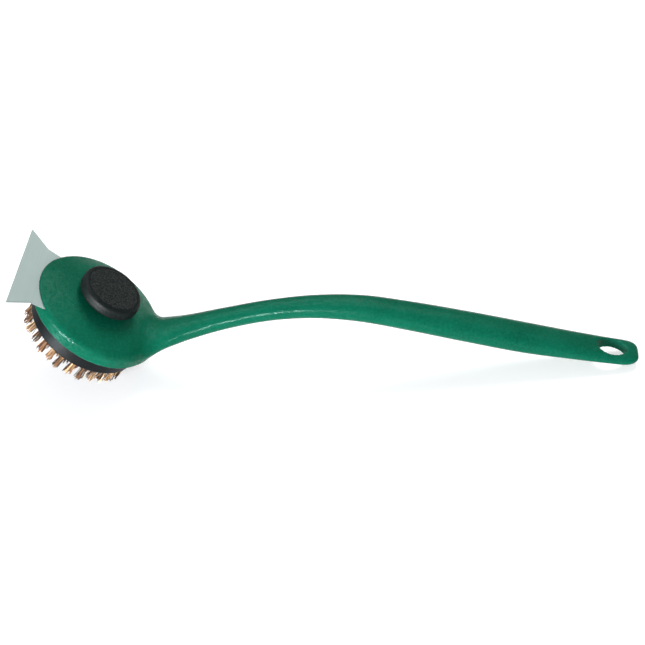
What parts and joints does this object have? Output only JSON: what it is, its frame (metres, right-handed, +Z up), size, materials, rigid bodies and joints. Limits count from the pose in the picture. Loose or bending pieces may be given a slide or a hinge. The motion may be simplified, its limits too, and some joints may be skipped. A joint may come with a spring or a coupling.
{
  "type": "grill cleaning brush",
  "caption": "Round-head grill cleaning brush with a long arched handle, a front scraper plate, wire tufts and a knob that releases the brush head.",
  "frame": {"origin": "middle of the underside of the whole object's box, on the table that it lies on", "axes": "+X from the head to the handle's butt, +Z up, with the brush resting on its rear bristle tips and its butt; the object is symmetric about the plane Y = 0"},
  "size_m": [0.3922, 0.088, 0.0823],
  "materials": {
    "green_plastic": "satin moulded plastic with a fine granular texture",
    "black_plastic": "glossy moulded plastic",
    "knob_plastic": "fine grained moulded plastic with a soft sheen on its side",
    "knob_grip": "coarse grained matt top",
    "stainless_steel": "matt rolled stainless sheet",
    "zinc_plated_steel": "bright zinc plating",
    "brass": "turned and knurled",
    "bristle_wire": "copper coloured drawn wire, light gold to dark brown"
  },
  "bodies": {
    "handle": {"handle": "green_plastic", "scraper_blade": "stainless_steel", "scraper_screw_left": "zinc_plated_steel", "scraper_screw_right": "zinc_plated_steel"},
    "knob": {"knob_body": "knob_plastic", "knob_cap": "knob_grip", "knob_bolt": "zinc_plated_steel", "knob_washer": "zinc_plated_steel"},
    "brush_head": {"brush_block": "black_plastic", "threaded_insert": "brass", "tuft_ring_outer": "bristle_wire", "tuft_ring_middle": "bristle_wire", "tuft_ring_inner": "bristle_wire", "tuft_01": "bristle_wire", "tuft_02": "bristle_wire", "tuft_03": "bristle_wire", "tuft_04": "bristle_wire", "tuft_05": "bristle_wire", "tuft_06": "bristle_wire", "tuft_07": "bristle_wire", "tuft_08": "bristle_wire", "tuft_09": "bristle_wire", "tuft_10": "bristle_wire", "tuft_11": "bristle_wire", "tuft_12": "bristle_wire", "tuft_13": "bristle_wire", "tuft_14": "bristle_wire", "tuft_15": "bristle_wire", "tuft_16": "bristle_wire", "tuft_17": "bristle_wire", "tuft_18": "bristle_wire", "tuft_19": "bristle_wire", "tuft_20": "bristle_wire", "tuft_21": "bristle_wire", "tuft_22": "bristle_wire", "tuft_23": "bristle_wire", "tuft_24": "bristle_wire", "tuft_25": "bristle_wire", "tuft_26": "bristle_wire", "tuft_27": "bristle_wire", "tuft_28": "bristle_wire", "tuft_29": "bristle_wire", "tuft_30": "bristle_wire"}
  },
  "joints": [
    {"name": "knob_turn", "type": "hinge", "parent": "handle", "child": "knob", "pos_m": [-0.15239, 0, 0.041], "axis": [0.616, 0, 0.7877], "range_deg": [0, 3024]},
    {"name": "brush_head_release", "type": "slide", "parent": "handle", "child": "brush_head", "axis": [-0.616, 0, -0.7877], "range_m": [0, 0.0105]}
  ],
  "couplings": [
    {"joint": "knob_turn", "follows": "brush_head_release", "rad_per_m": 5026.5}
  ]
}
